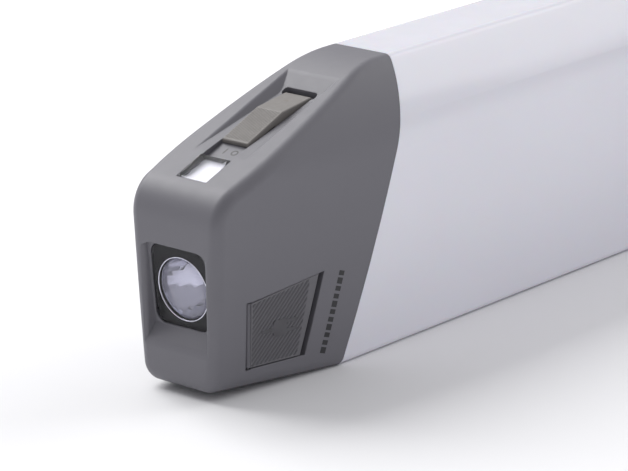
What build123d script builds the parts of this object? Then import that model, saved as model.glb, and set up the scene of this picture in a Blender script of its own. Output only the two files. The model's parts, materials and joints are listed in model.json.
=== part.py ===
"""Hand-held LED light tube: an opal tube with a grey head that holds a torch, a slide switch and a port bay.

Millimetres, +Z up.  The tube runs along Y, the torch faces -Y and the port flap is on the +X side.
Everything is drawn from the head's front face at Y = 0, and moved by half the length when it is written,
so the written parts have their origin at the middle of the underside.
"""
from build123d import *
import math
import os

# ---------------------------------------------------------------- overall form
LENGTH = 300.0
HEIGHT = 58.0
WALL = 1.8               # head and tail shells
TUBE_WALL = 1.6
SEAM_Y = 32.65           # where the head's seam meets the underside
SEAM_LEAN = 0.3933       # seam Y gained per mm of height
TAIL_SEAM_Y = 262.0
SEAM_GAP = 0.1
EDGE_R = 2.5             # rounding of the long top edges and of the front face
TAIL_EDGE_R = 2.2

# right-hand outline of a section: side arc (low, middle, high), then the ends of the two shoulder arcs
TUBE_SIDE = ((13.49, 0.0), (14.63, 16.5), (14.91, 41.0), (13.94, 46.73), (5.93, 59.67))
FRONT_SIDE = ((9.41, 1.5), (10.75, 20.5), (11.9, 41.3), (11.35, 45.2), (6.1, 59.67))
TUBE_CORNER_R = 1.8
FRONT_CORNER_R = 4.0

# sloped top of the head
SLOPE_BASE = 40.2        # height at which the slope would meet the front face
SLOPE_RISE = 0.375       # height gained per mm of Y
BROW_R = 8.0             # between front face and slope
CREST_R = 28.0           # between slope and flat top

# ---------------------------------------------------------------- torch, in its own frame (u, v, out of the face)
TORCH_DEPTH = 1.68
TORCH_Z = 21.45
TORCH_TILT = 4.7
RECESS_SPLAY = 0.9       # the recess's side walls stand this far out from the window at the front
WINDOW_W, WINDOW_H, WINDOW_T, WINDOW_R = 14.2, 16.4, 0.9, 2.5
OPTIC_R = 6.5
OPTIC_DROP = 0.6         # the round optic sits this far below the window's middle
LENS_FRONT, LENS_BACK = -0.95, -2.0
BEZEL_BACK = -5.4
REFLECTOR_BACK = -6.4
SNUG = 0.08              # gap round a piece that is fixed in its seat
FLARE = 0.02             # a hollow's soft rim levels out this far above the face that it is cut in

# ---------------------------------------------------------------- slope features, in the slope's frame (x, s, h)
WELL_W = 3.75            # half-width of the slide's well
WELL_START, WELL_END = 13.6, 39.9
WELL_SLOT_W, WELL_SLOT_L = 4.3, 1.9      # the well's far end is a little wider, with round corners
TRAY_W, TRAY_FLOOR_W, TRAY_DEPTH = 6.6, 4.4, 1.6
TRAY_START, TRAY_LOW, TRAY_END = 14.5, 38.6, 44.0
KNOB_W = 3.45
KNOB_NEAR, KNOB_RIDGE, KNOB_FAR = 19.2, 30.3, 38.7
KNOB_STEP = 27.2
KNOB_FOOT, KNOB_BASE = -0.8, -2.5        # underside of the near half, and of the rest
KNOB_TRAVEL = 4.0
GUIDE_HIGH, GUIDE_LOW, GUIDE_PLATE, GUIDE_BASE = -0.95, -2.65, -3.65, -4.7
INDICATOR_W, INDICATOR_NEAR, INDICATOR_FAR = 3.8, 6.0, 13.45
SWITCH_BOARD_TOP, BOARD_T = -8.0, 1.0
LEVER_S = 28.0

# ---------------------------------------------------------------- port bay, in its own frame (u rearwards, v up, w out)
BAY_X, BAY_Y, BAY_Z = 12.07, 17.5, 12.0
BAY_TURN, BAY_LEAN = 0.115, 0.041     # x gained per mm of Y and of Z on the head's side
FLAP_OUTLINE = ((-8.35, -6.6), (4.4, -7.1), (9.4, 8.8), (-8.35, 6.7))
FLAP_GAP = 0.15
SLOT_WIDTH = 1.3
FLAP_T = 1.4
BAY_FLOOR = -1.8
BAY_BACK = -3.4
SEAL_T = 0.3
HINGE_DEPTH, KNUCKLE_R, PIN_R, PIN_FIT = 0.85, 0.75, 0.35, 0.05
HINGE_NECK = 0.95        # hollow round the knuckle
HINGE_RELIEF = 1.25      # clear space in front of the hinge axis for the open flap
RELIEF_ROOM = 0.3        # how far that space passes the hinge above, below and behind
PIN_REACH = 1.7          # the pin passes the flap by this much at each end
PORT_BOARD_V = -0.2
USB_A = (13.1, 5.7, 14.0)
MICRO_USB = (7.5, 2.5, 5.6)
USB_A_U, MICRO_USB_U = -0.2, -1.5

# ---------------------------------------------------------------- inside the tube
CELL_R, CELL_L = 9.15, 65.0
CELL_Z = 12.2
CELL_START, CELL_PITCH = 66.0, 67.5
TRAY_HALF = 10.8
CARRIER_LOW, CARRIER_HIGH = 22.9, 53.4
STRIP_LOW, STRIP_HIGH = 26.0, 50.5
LED_PITCH = 12.0
LED_SIZE = (0.8, 3.5, 2.8)

SPIGOT_OUT, SPIGOT_IN = 1.7, 3.0      # insets of the joining frames from the outer form
SPIGOT_BACK, SPIGOT_REACH = 8.0, 10.0
BATTERY_LEAD_Z, LED_LEAD_Z = 17.5, 38.0


# ---------------------------------------------------------------- frames
def lean(degrees):
    return math.cos(math.radians(degrees)), math.sin(math.radians(degrees))


SLOPE_ANGLE = math.degrees(math.atan(SLOPE_RISE))
SLOPE_C, SLOPE_S = lean(SLOPE_ANGLE)
SLOPE = Plane(origin=(0, 0, SLOPE_BASE), x_dir=(1, 0, 0), z_dir=(0, -SLOPE_S, SLOPE_C))
TORCH_C, TORCH_S = lean(TORCH_TILT)
TORCH = Plane(origin=(0, TORCH_DEPTH, TORCH_Z), x_dir=(1, 0, 0), z_dir=(0, -TORCH_C, -TORCH_S))
OPTIC = Plane(origin=TORCH.from_local_coords((0, -OPTIC_DROP, 0)), x_dir=(1, 0, 0), z_dir=TORCH.z_dir)
BAY = Plane(origin=(BAY_X, BAY_Y, BAY_Z), x_dir=(BAY_TURN, 1, 0), z_dir=(1, -BAY_TURN, -BAY_LEAN))


def box(x0, x1, y0, y1, z0, z1):
    """An axis-aligned block given by its limits."""
    return Pos((x0 + x1) / 2, (y0 + y1) / 2, (z0 + z1) / 2) * Box(x1 - x0, y1 - y0, z1 - z0)


def prism_x(points, half_width):
    """A block with the given (y, z) outline, the same on both sides of x = 0."""
    return extrude(make_face(Plane.YZ * Polyline(*points, close=True)), half_width, both=True)


def prism_z(points, z0, z1):
    """A block with the given (x, y) outline between two heights."""
    return Pos(0, 0, z0) * extrude(make_face(Polyline(*points, close=True)), z1 - z0)


def rounded_slab(width, height, radius, z0, z1):
    return Pos(0, 0, z0) * extrude(RectangleRounded(width, height, radius), z1 - z0)


def rod(radius, z0, z1):
    return Pos(0, 0, (z0 + z1) / 2) * Cylinder(radius, z1 - z0)


def rod_y(radius, x, z, y0, y1):
    return Pos(x, (y0 + y1) / 2, z) * Rot(90, 0, 0) * Cylinder(radius, y1 - y0)


# ---------------------------------------------------------------- outer forms
def side_chain(low, middle, high, bend, top):
    side = ThreePointArc(low, middle, high)
    lower = TangentArc(side @ 1, bend, tangent=side % 1)
    upper = TangentArc(lower @ 1, top, tangent=lower % 1)
    return [side, lower, upper]


def tall_section(points, corner_r, inset=0.0):
    """A section that runs on above the top, so that the top can be cut afterwards."""
    chain = side_chain(*points)
    low, top = points[0], points[-1]
    outline = Curve() + [Line((-low[0], low[1]), low), Line(top, (-top[0], top[1]))]
    outline = outline + chain + [mirror(arc, Plane.YZ) for arc in chain]
    face = make_face(outline)
    face = fillet(face.vertices().sort_by(Axis.Y)[:2], corner_r)
    return offset(face, -inset) if inset else face


def tube_section(inset=0.0):
    """The tube's own section, flat on top with rounded long edges."""
    cut = tall_section(TUBE_SIDE, TUBE_CORNER_R) & Pos(0, HEIGHT / 2) * Rectangle(60, HEIGHT)
    face = fillet(cut.vertices().sort_by(Axis.Y)[-2:], EDGE_R)
    return offset(face, -inset) if inset else face


def slanted_slab(y0, y1):
    """Everything between two planes parallel to the seam, given by their Y at the underside."""
    low, high = -5.0, HEIGHT + 5.0
    points = [(y0 + SEAM_LEAN * low, low), (y1 + SEAM_LEAN * low, low),
              (y1 + SEAM_LEAN * high, high), (y0 + SEAM_LEAN * high, high)]
    return prism_x(points, 30)


def tube_form(y0, y1, inset=0.0):
    """A stretch of the tube's section between two planes parallel to the seam."""
    whole = Pos(0, -20, 0) * extrude(Plane.XZ * tube_section(inset), -(LENGTH + 60))
    return whole & slanted_slab(y0, y1)


def ring_form(y0, y1, outer_inset, inner_inset):
    return tube_form(y0, y1, outer_inset) - tube_form(y0 - 1, y1 + 1, inner_inset)


def head_loft(inset=0.0, past_seam=0.0):
    """Straight lines from the front section to the tube's section on the slanted seam."""
    front = Pos(0, inset, 0) * Plane.XZ * tall_section(FRONT_SIDE, FRONT_CORNER_R, inset)
    seam = (Plane.XZ * tall_section(TUBE_SIDE, TUBE_CORNER_R, inset)).face()
    shear = Matrix([[1, 0, 0, 0], [0, 1, SEAM_LEAN, SEAM_Y + past_seam], [0, 0, 1, 0], [0, 0, 0, 1]])
    sections = [front.face().outer_wire(), seam.transform_geometry(shear).outer_wire()]
    return Solid.make_loft(sections, ruled=True)


def head_profile(inset=0.0):
    """Side view of the head: upright front, slope and flat top."""
    top, far = HEIGHT - inset, LENGTH / 4
    foot = SLOPE_BASE - inset / SLOPE_C + SLOPE_RISE * inset
    crest = inset + (top - foot) / SLOPE_RISE
    face = make_face(Plane.YZ * Polyline((inset, -5), (far, -5), (far, top), (crest, top), (inset, foot),
                                         close=True))
    face = fillet(face.vertices().sort_by_distance((0, inset, foot))[0], BROW_R - inset)
    face = fillet(face.vertices().sort_by_distance((0, crest, top))[0], CREST_R)
    return extrude(face, 30, both=True)


def head_form():
    """The head's full outer form, with its front and top edges rounded."""
    form = (head_loft() & head_profile()).solid()

    def on_rim(edge):
        middle = edge.position_at(0.5)
        slope_z = SLOPE_BASE + SLOPE_RISE * middle.Y
        near_top = abs(middle.Z - slope_z) < 0.9 or middle.Z > HEIGHT - 1 or (middle.Y < 6 and middle.Z > 34)
        return middle.Y < 0.01 or (abs(middle.X) > 5 and near_top)

    return fillet([edge for edge in form.edges() if on_rim(edge)], EDGE_R).solid()


HEAD = head_form()


# ---------------------------------------------------------------- head shell
def knob_side(travel=0.0, grow=0.0):
    """Side view of the slide knob in the slope's frame."""
    near, far = KNOB_NEAR - travel - grow, KNOB_FAR + grow
    return [(near, KNOB_FOOT), (near, -0.1), (near + 0.35, 0.1), (KNOB_RIDGE, 0.45), (far, -1.45),
            (far, KNOB_BASE), (KNOB_STEP, KNOB_BASE), (KNOB_STEP, KNOB_FOOT)]


def torch_recess():
    """The stepped hollow in front of the torch window; its lower ledge runs out softly into the face."""
    top, low, toe = 29.9, 13.1, 9.6
    y_top = TORCH_DEPTH - TORCH_S * (top - TORCH_Z)
    y_low = TORCH_DEPTH + TORCH_S * (TORCH_Z - low)
    face_y, inner, outer = -FLARE, WINDOW_W / 2 + 0.15, WINDOW_W / 2 + RECESS_SPLAY
    side = make_face(Polyline((-3, top), (y_top, top), (y_low, low), (face_y, toe), (face_y, toe - 6),
                              (-3, toe - 6), close=True))
    side = soft_corners(side, {(face_y, toe): 4.0})
    plan = make_face(Polyline((-10, face_y), (-outer, face_y), (-inner, y_low + 0.5), (inner, y_low + 0.5),
                              (outer, face_y), (10, face_y), (10, -3), (-10, -3), close=True))
    plan = soft_corners(plan, {(-outer, face_y): 1.2, (outer, face_y): 1.2})
    front = Pos(0, 0, top - 10) * Box(2 * outer + 4, 8, 20)
    front = fillet(front.edges().filter_by(Axis.Y).group_by(Axis.Z)[-1], WINDOW_R + 2)
    return extrude(Plane.YZ * side, 12, both=True) & extrude(plan, 40) & (front + box(-12, 12, -4, 4, 0, 12))


def soft_corners(face, radii):
    """Rounds a face's corners, given as {(x, y): radius}."""
    for (x, y), radius in radii.items():
        face = fillet(face.vertices().sort_by_distance((x, y, 0))[0], radius)
    return face


def tray_hollow():
    """A shallow dish in the slope with a sloping floor, slanted walls and a soft rim, in the slope's frame."""
    top, low = FLARE, -TRAY_DEPTH
    along = make_face(Polyline((TRAY_START - 3, top), (TRAY_START, top), (TRAY_LOW, low), (TRAY_END, top),
                               (TRAY_END + 4, top), (TRAY_END + 4, 4), (TRAY_START - 3, 4), close=True))
    along = soft_corners(along, {(TRAY_START, top): 20.0, (TRAY_LOW, low): 8.0, (TRAY_END, top): 5.0})
    across = make_face(Polyline((-9, top), (-TRAY_W, top), (-TRAY_FLOOR_W, low - 0.1), (TRAY_FLOOR_W, low - 0.1),
                                (TRAY_W, top), (9, top), (9, 4), (-9, 4), close=True))
    across = soft_corners(across, {(side * w, h): 1.2 for side in (-1, 1)
                                   for w, h in ((TRAY_W, top), (TRAY_FLOOR_W, low - 0.1))})
    return extrude(Plane.YZ * along, 9, both=True) & extrude(Plane.XZ * across, TRAY_END + 10, both=True)


def slide_well():
    """The slide's well and the indicator's opening, which lies in front of it, in the slope's frame."""
    well = box(-WELL_W, WELL_W, WELL_START - 0.2, WELL_END - WELL_SLOT_L / 2, -6, 4)
    far_end = Pos(0, WELL_END - WELL_SLOT_L / 2) * rounded_slab(2 * WELL_SLOT_W, WELL_SLOT_L, 0.75, -6, 4)
    opening_w = INDICATOR_W + 0.1
    return well + far_end + box(-opening_w, opening_w, INDICATOR_NEAR - 0.1, WELL_START, -6, 4)


def bay_block(points, w0, w1):
    return BAY * prism_z(points, w0, w1)


def grown(points, left=0.0, down=0.0, right=0.0, up=0.0):
    """The flap's four-sided outline moved out on each side; the right side stays parallel to itself."""
    (a, b), (c, d), (e, f), (g, h) = points
    slope = (e - c) / (f - d)
    low_c, high_e = c + right - slope * down, e + right + slope * up
    return [(a - left, b - down), (low_c, d - down), (high_e, f + up), (g - left, h + up)]


def bay_outline():
    return grown(FLAP_OUTLINE, left=0.3, down=FLAP_GAP, right=SLOT_WIDTH, up=FLAP_GAP)


HINGE_U = FLAP_OUTLINE[0][0]
HINGE_LOW, HINGE_HIGH = FLAP_OUTLINE[0][1], FLAP_OUTLINE[3][1]


def hinge_rod(radius, v0, v1):
    """A rod on the flap's hinge axis, which stands up in the bay's frame."""
    return BAY * (Pos(HINGE_U, (v0 + v1) / 2, -HINGE_DEPTH) * Rot(90, 0, 0) * Cylinder(radius, v1 - v0))


def port_window(size, u, v0, gap):
    width, height, _ = size
    return BAY * box(u - width / 2 - gap, u + width / 2 + gap, v0 - gap, v0 + height + gap, BAY_BACK - 1, 0)


USB_A_V = PORT_BOARD_V + BOARD_T / 2 + 0.05
MICRO_USB_V = PORT_BOARD_V - BOARD_T / 2 - 0.05 - MICRO_USB[1]


# thicker seats inside the head shell: limits in x, y, z; limits in the slope's frame; outline in the bay's frame
TORCH_SEAT = (-8.6, 8.6, 1.0, 5.2, 11.2, 31.4)
SWITCH_SEAT = (-8.0, 8.0, 14.9, 43.5, -3.6, -1.0)
BAY_SEAT = ((-11, -8.6), (11.5, -8.6), (13.0, 10.6), (-11, 10.6))


def screw_places():
    return [(-6.0, 28.6), (6.0, 28.6)]


def head_shell():
    cavity = head_loft(WALL, past_seam=0.6) & head_profile(WALL)
    shell = HEAD - cavity
    bay_seat = bay_block(BAY_SEAT, BAY_BACK, -1.0)
    shell = shell + (box(*TORCH_SEAT) & HEAD) + (SLOPE * box(*SWITCH_SEAT) & HEAD) + (bay_seat & HEAD)
    # torch opening
    shell = shell - torch_recess()
    shell = shell - TORCH * rounded_slab(WINDOW_W + 2 * SNUG, WINDOW_H + 2 * SNUG, WINDOW_R, BEZEL_BACK - 3, 0.5)
    shell = shell - SLOPE * tray_hollow() - SLOPE * slide_well()
    # port bay
    shell = shell - bay_block(bay_outline(), BAY_FLOOR, 4)
    shell = shell - hinge_rod(HINGE_NECK, HINGE_LOW - FLAP_GAP, HINGE_HIGH + FLAP_GAP)
    front_u, low_v, high_v = HINGE_U - HINGE_RELIEF, HINGE_LOW - RELIEF_ROOM, HINGE_HIGH + RELIEF_ROOM
    relief = [(front_u, low_v), (HINGE_U, low_v), (HINGE_U, high_v), (front_u, high_v)]
    shell = shell - bay_block(relief, -HINGE_DEPTH - RELIEF_ROOM, 4)
    shell = shell - hinge_rod(PIN_R + 0.01, HINGE_LOW - PIN_REACH - 0.1, HINGE_HIGH + PIN_REACH + 0.1)
    shell = shell - port_window(USB_A, USB_A_U, USB_A_V, SNUG)
    shell = shell - port_window(MICRO_USB, MICRO_USB_U, MICRO_USB_V, SNUG)
    # seat of the joining frame, and its screws
    shell = shell - tube_form(SEAM_Y - SPIGOT_BACK - 0.1, SEAM_Y + 5, SPIGOT_OUT - 0.06)
    for x, y in screw_places():
        shell = shell - Pos(x, y, 0) * countersunk(1.35, 2.5, 0.12, 3.0)
    return shell.solids().sort_by(SortBy.VOLUME)[-1]


def countersunk(shaft_r, head_r, head_z, depth, gap=0.0):
    """A countersunk screw or its seat, standing up from its flat head at head_z."""
    outline = Polyline((0, head_z), (head_r + gap, head_z), (head_r + gap, head_z + 0.25),
                       (shaft_r + gap, head_z + 0.25 + head_r - shaft_r), (shaft_r + gap, head_z + depth),
                       (0, head_z + depth), close=True)
    return revolve(make_face(Plane.XZ * outline), Axis.Z)


def screw(shaft_r, head_r, depth):
    """A countersunk screw with a cross recess, its head face at z = 0."""
    body = countersunk(shaft_r, head_r, 0, depth)
    return body - box(-head_r * 0.6, head_r * 0.6, -0.3, 0.3, -1, 0.6) - box(-0.3, 0.3, -head_r * 0.6,
                                                                             head_r * 0.6, -1, 0.6)


# ---------------------------------------------------------------- torch
def torch_window():
    plate = rounded_slab(WINDOW_W, WINDOW_H, WINDOW_R - SNUG, -WINDOW_T, 0)
    return TORCH * fillet(plate.edges().group_by(Axis.Z)[-1], 0.25)


def torch_bezel():
    frame = rounded_slab(WINDOW_W, WINDOW_H, WINDOW_R - SNUG, BEZEL_BACK, -WINDOW_T - 0.05)
    return TORCH * frame - OPTIC * rod(OPTIC_R + 0.1, BEZEL_BACK - 1, 0)


def torch_lens():
    """Round lens that fills the bezel's bore, close behind the window."""
    disc = rod(OPTIC_R, LENS_BACK, LENS_FRONT)
    return OPTIC * fillet(disc.edges().group_by(Axis.Z)[-1], 0.2)


def torch_reflector():
    """A thin bright cup round the LED."""
    brim = LENS_BACK - 0.05
    outer = Spline((2.2, REFLECTOR_BACK), (5.2, -4.4), (OPTIC_R, brim))
    inner = Spline((OPTIC_R - 0.5, brim), (4.6, -4.1), (1.7, REFLECTOR_BACK))
    outline = outer + Line((OPTIC_R, brim), (OPTIC_R - 0.5, brim)) + inner
    outline = outline + Line((1.7, REFLECTOR_BACK), (2.2, REFLECTOR_BACK))
    return OPTIC * revolve(make_face(Plane.XZ * outline), Axis.Z)


def torch_led():
    base = box(-1.1, 1.1, -1.1, 1.1, REFLECTOR_BACK - 0.15, REFLECTOR_BACK + 0.25)
    dome = Pos(0, 0, REFLECTOR_BACK + 0.25) * (Sphere(0.95) & box(-2, 2, -2, 2, 0, 2))
    return OPTIC * (base + dome)


def torch_led_board():
    return OPTIC * (rounded_slab(12.6, 12.6, 1.5, REFLECTOR_BACK - 1.2, REFLECTOR_BACK - 0.2))


# ---------------------------------------------------------------- slope: indicator and slide switch
def indicator_window():
    top = prism_x([(INDICATOR_NEAR, -2.6), (INDICATOR_NEAR, 0.05), (INDICATOR_FAR, 0.35),
                   (INDICATOR_FAR, -2.6)], INDICATOR_W)
    rim = box(-INDICATOR_W - 0.9, INDICATOR_W + 0.9, INDICATOR_NEAR - 0.9, INDICATOR_FAR, -2.9, -1.95)
    body = fillet(top.edges().group_by(Axis.Z)[-1], 0.3)
    return SLOPE * (body + rim)


def indicator_led():
    return SLOPE * box(-1.75, 1.75, 8.3, 11.1, SWITCH_BOARD_TOP + 0.02, SWITCH_BOARD_TOP + 1.4)


def switch_guide():
    """Floor plate under the slide, higher in front than behind, with the lever's slot."""
    half, root = WELL_W - 0.06, GUIDE_PLATE - 0.05
    step = KNOB_STEP - KNOB_TRAVEL - 0.6
    plate = box(-7.0, 7.0, 14.95, 43.0, GUIDE_BASE, GUIDE_PLATE)
    high = box(-half, half, INDICATOR_FAR + 0.05, step, root, GUIDE_HIGH)
    low = box(-half, half, step - 0.1, WELL_END - 0.06, root, GUIDE_LOW)
    slot = box(-1.3, 1.3, LEVER_S - KNOB_TRAVEL - 1.4, LEVER_S + 1.4, -6, 0)
    return SLOPE * (plate + high + low - slot)


def switch_knob():
    knob = prism_x(knob_side(), KNOB_W)
    upright = knob.edges().filter_by(Axis.Z)
    knob = fillet(upright, 0.4)
    socket = box(-1.1, 1.1, LEVER_S - 1.1, LEVER_S + 1.1, -3, -1.0)
    return SLOPE * (knob - socket)


def switch_lever():
    return SLOPE * box(-1.05, 1.05, LEVER_S - 1.05, LEVER_S + 1.05, -6.6, -1.05)


def slide_switch():
    can = box(-3.0, 3.0, 18.0, 34.0, SWITCH_BOARD_TOP + 0.02, -5.0)
    hollow = box(-2.4, 2.4, 18.6, 33.4, SWITCH_BOARD_TOP + 0.6, -5.4)
    slot = box(-1.35, 1.35, LEVER_S - KNOB_TRAVEL - 1.5, LEVER_S + 1.5, -6, -4)
    return SLOPE * (can - hollow - slot)


def switch_board():
    return SLOPE * box(-6.5, 6.5, 5.0, 37.0, SWITCH_BOARD_TOP - BOARD_T, SWITCH_BOARD_TOP)


# ---------------------------------------------------------------- port bay
def port_flap():
    """The flap's outer face is a piece of the head's own side; a knuckle runs along its front edge."""
    plate = bay_block(FLAP_OUTLINE, -FLAP_T, 4) & HEAD
    flap = plate + (hinge_rod(KNUCKLE_R, HINGE_LOW, HINGE_HIGH) & HEAD)
    return (flap - hinge_rod(PIN_R + PIN_FIT, HINGE_LOW - 1, HINGE_HIGH + 1)).solid()


def flap_hinge_pin():
    return hinge_rod(PIN_R, HINGE_LOW - PIN_REACH, HINGE_HIGH + PIN_REACH)


def port_shell(size, u, v0, wall, tongue):
    """A metal port with its mouth at the bay floor and a plastic tongue inside."""
    width, height, depth = size
    face_w = BAY_FLOOR - 0.02
    outer = box(u - width / 2, u + width / 2, v0, v0 + height, face_w - depth, face_w)
    inner = box(u - width / 2 + wall, u + width / 2 - wall, v0 + wall, v0 + height - wall,
                face_w - depth + 1.5, face_w + 1)
    low, high, inset = tongue
    blade = box(u - width / 2 + inset, u + width / 2 - inset, v0 + low, v0 + high, face_w - depth + 1.4,
                face_w - 0.8)
    return BAY * (outer - inner + blade)


def usb_a_port():
    return port_shell(USB_A, USB_A_U, USB_A_V, 0.35, (3.1, 4.9, 0.8))


def micro_usb_port():
    return port_shell(MICRO_USB, MICRO_USB_U, MICRO_USB_V, 0.3, (0.95, 1.5, 1.6))


def port_seal():
    """A thin rubber pad on the bay floor, open round the ports."""
    pad = bay_block(grown(bay_outline(), left=-0.9, down=-0.05, right=-0.05, up=-0.05), BAY_FLOOR + 0.01,
                    BAY_FLOOR + SEAL_T)
    return pad - port_window(USB_A, USB_A_U, USB_A_V, 0.4) - port_window(MICRO_USB, MICRO_USB_U, MICRO_USB_V, 0.4)


def port_board():
    v0, v1 = PORT_BOARD_V - BOARD_T / 2, PORT_BOARD_V + BOARD_T / 2
    return BAY * box(-8.5, 10.0, v0, v1, -19.0, BAY_BACK - 0.1)


# ---------------------------------------------------------------- driver electronics
BOARD_Y0, BOARD_Y1, BOARD_Z0, BOARD_Z1 = 16.0, 40.0, 20.0, 34.5


def driver_board():
    board = box(-0.6, 0.6, BOARD_Y0, BOARD_Y1, BOARD_Z0, BOARD_Z1)
    for y in (BOARD_Y0 + 2, BOARD_Y1 - 2):
        board = board - Pos(0, y, BOARD_Z1 - 2) * Rot(0, 90, 0) * Cylinder(0.9, 4)
    return board


def driver_inductor():
    block = box(0.65, 4.65, 19.5, 26.5, 22.0, 29.0)
    return fillet(block.edges().filter_by(Axis.X), 1.0)


def driver_chips():
    places = ((29.0, 22.0), (35.0, 22.0), (29.0, 28.0))
    return Compound(children=[box(0.65, 2.0, y, y + 4.0, z, z + 4.0) for y, z in places])


def driver_capacitors():
    return Compound(children=[Pos(-3.2, y, 25.5) * Rot(0, 90, 0) * Cylinder(2.5, 5.0) for y in (22.0, 28.5)])


def board_screws():
    return Compound(children=[Pos(-1.2, y, BOARD_Z1 - 2) * Rot(0, 90, 0) * (
        Cylinder(0.85, 3.4, align=(Align.CENTER, Align.CENTER, Align.MIN)) + Cylinder(1.6, 0.55))
        for y in (BOARD_Y0 + 2, BOARD_Y1 - 2)])


# ---------------------------------------------------------------- joining frames
def seam_frame(seam_y, toward_tube):
    """A collar half in a shell and half in the tube, with a bulkhead at its tube end."""
    if toward_tube > 0:
        y0, y1 = seam_y - SPIGOT_BACK, seam_y + SPIGOT_REACH
        wall = (y1 - 1.8, y1)
        groove = (seam_y + 3.0, seam_y + 4.6)
    else:
        y0, y1 = seam_y - SPIGOT_REACH, seam_y + SPIGOT_BACK
        wall = (y0, y0 + 1.8)
        groove = (seam_y - 4.6, seam_y - 3.0)
    frame = ring_form(y0, y1, SPIGOT_OUT, SPIGOT_IN) + tube_form(*wall, SPIGOT_IN - 0.5)
    frame = frame - ring_form(*groove, SPIGOT_OUT - 0.5, SPIGOT_OUT + 0.6)
    for z in (BATTERY_LEAD_Z, LED_LEAD_Z):
        frame = frame - rod_y(2.2, 0, z, -10, LENGTH + 10)
    return frame


def gasket(seam_y, toward_tube):
    y0 = seam_y + (3.05 if toward_tube > 0 else -4.55)
    return ring_form(y0, y0 + 1.5, TUBE_WALL + 0.03, SPIGOT_OUT + 0.55)


def head_frame():
    frame = seam_frame(SEAM_Y, 1)
    for x, y in screw_places():
        frame = frame + (Pos(x, y, 0) * rod(2.4, 1.9, 8.0) & tube_form(SEAM_Y - SPIGOT_BACK, SEAM_Y + 9, 1.9))
        frame = frame - Pos(x, y, 0) * rod(1.12, 0, 7.0)
    return frame.solid()


def head_screws():
    return Compound(children=[Pos(x, y, 0.15) * screw(1.1, 2.35, 6.2) for x, y in screw_places()])


def diffuser_tube():
    return ring_form(SEAM_Y + SEAM_GAP, TAIL_SEAM_Y - SEAM_GAP, 0.0, TUBE_WALL)


# ---------------------------------------------------------------- light engine
TUBE_FROM, TUBE_TO = SEAM_Y + SPIGOT_REACH + 0.15, TAIL_SEAM_Y - SPIGOT_REACH - 0.15


def led_carrier():
    """An aluminium I-beam that fills the tube from collar to collar."""
    web = box(-1.0, 1.0, 0, LENGTH, CARRIER_LOW, CARRIER_HIGH)
    foot = box(-8.0, 8.0, 0, LENGTH, CARRIER_LOW, CARRIER_LOW + 1.2)
    head = box(-4.5, 4.5, 0, LENGTH, CARRIER_HIGH - 1.2, CARRIER_HIGH)
    return (web + foot + head) & slanted_slab(TUBE_FROM, TUBE_TO)


def led_strip(side):
    strip = box(1.03, 1.83, 0, LENGTH, STRIP_LOW, STRIP_HIGH) & slanted_slab(TUBE_FROM + 2, TUBE_TO - 2)
    return strip if side > 0 else mirror(strip, Plane.YZ)


def strip_leds(side):
    depth, long, tall = LED_SIZE
    x0 = 1.85
    leds = []
    for z in (32.0, 44.0):
        first = TUBE_FROM + SEAM_LEAN * z + 6.0
        count = int((TUBE_TO - TUBE_FROM - 12.0) / LED_PITCH)
        for i in range(count):
            y = first + i * LED_PITCH
            led = box(x0, x0 + depth, y - long / 2, y + long / 2, z - tall / 2, z + tall / 2)
            leds.append(led if side > 0 else mirror(led, Plane.YZ))
    return Compound(children=leds)


CARRIER_SCREW_YS = (70.0, 150.0, 240.0)


def carrier_screws():
    spots = [(x, y) for y in CARRIER_SCREW_YS for x in (-4.5, 4.5)]
    return Compound(children=[Pos(x, y, CARRIER_LOW + 1.25) * (
        Cylinder(1.9, 1.1, align=(Align.CENTER, Align.CENTER, Align.MIN))) for x, y in spots])


# ---------------------------------------------------------------- battery
PACK_Y0, PACK_Y1 = CELL_START - 6.0, CELL_START + 2 * CELL_PITCH + 3.0


def cell_channel():
    """The cells' round bed, with a way out in front for the leads."""
    bed = rod_y(CELL_R + 0.2, 0, CELL_Z, CELL_START - 1.5, CELL_START + 2 * CELL_PITCH - 1.0)
    return bed + box(-2.2, 2.2, PACK_Y0 - 1, CELL_START, CELL_Z - 1.5, CELL_Z + 1.5)


def battery_tray():
    block = box(-TRAY_HALF, TRAY_HALF, PACK_Y0, PACK_Y1, 2.05, CELL_Z)
    return fillet(block.edges().filter_by(Axis.Y).group_by(Axis.Z)[0], 1.2) - cell_channel()


def battery_cover():
    block = box(-TRAY_HALF, TRAY_HALF, PACK_Y0, PACK_Y1, CELL_Z + 0.1, CARRIER_LOW - 0.05)
    return fillet(block.edges().filter_by(Axis.Y).group_by(Axis.Z)[-1], 2.0) - cell_channel()


def battery_cell(index):
    start = CELL_START + index * CELL_PITCH
    can = rod_y(CELL_R, 0, CELL_Z, start, start + CELL_L - 0.8)
    can = fillet(can.edges().filter_by(GeomType.CIRCLE), 0.8)
    return can + rod_y(3.0, 0, CELL_Z, start + CELL_L - 0.8, start + CELL_L)


def battery_tabs():
    ys = (CELL_START - 0.3, CELL_START + CELL_L + 0.4, CELL_START + CELL_L + CELL_PITCH + 0.05)
    return Compound(children=[box(-3.5, 3.5, y, y + 0.2, CELL_Z - 6, CELL_Z + 6) for y in ys])


# ---------------------------------------------------------------- wiring
def wire(points, bends, radius):
    path = FilletPolyline(*points, radius=bends)
    return sweep(Plane(origin=path @ 0, z_dir=path % 0) * Circle(radius), path)


def battery_lead(side):
    """A lead from the front of the cells, through the head's collar, to the driver board."""
    x = 0.8 * side
    points = [(x, CELL_START - 0.5, CELL_Z), (x, 56.5, CELL_Z), (x, 51.5, BATTERY_LEAD_Z),
              (x, 39.0, BATTERY_LEAD_Z), (x, 36.0, BOARD_Z0 - 0.1)]
    return wire(points, [3.5, 3.5, 2.0], 0.55)


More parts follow.
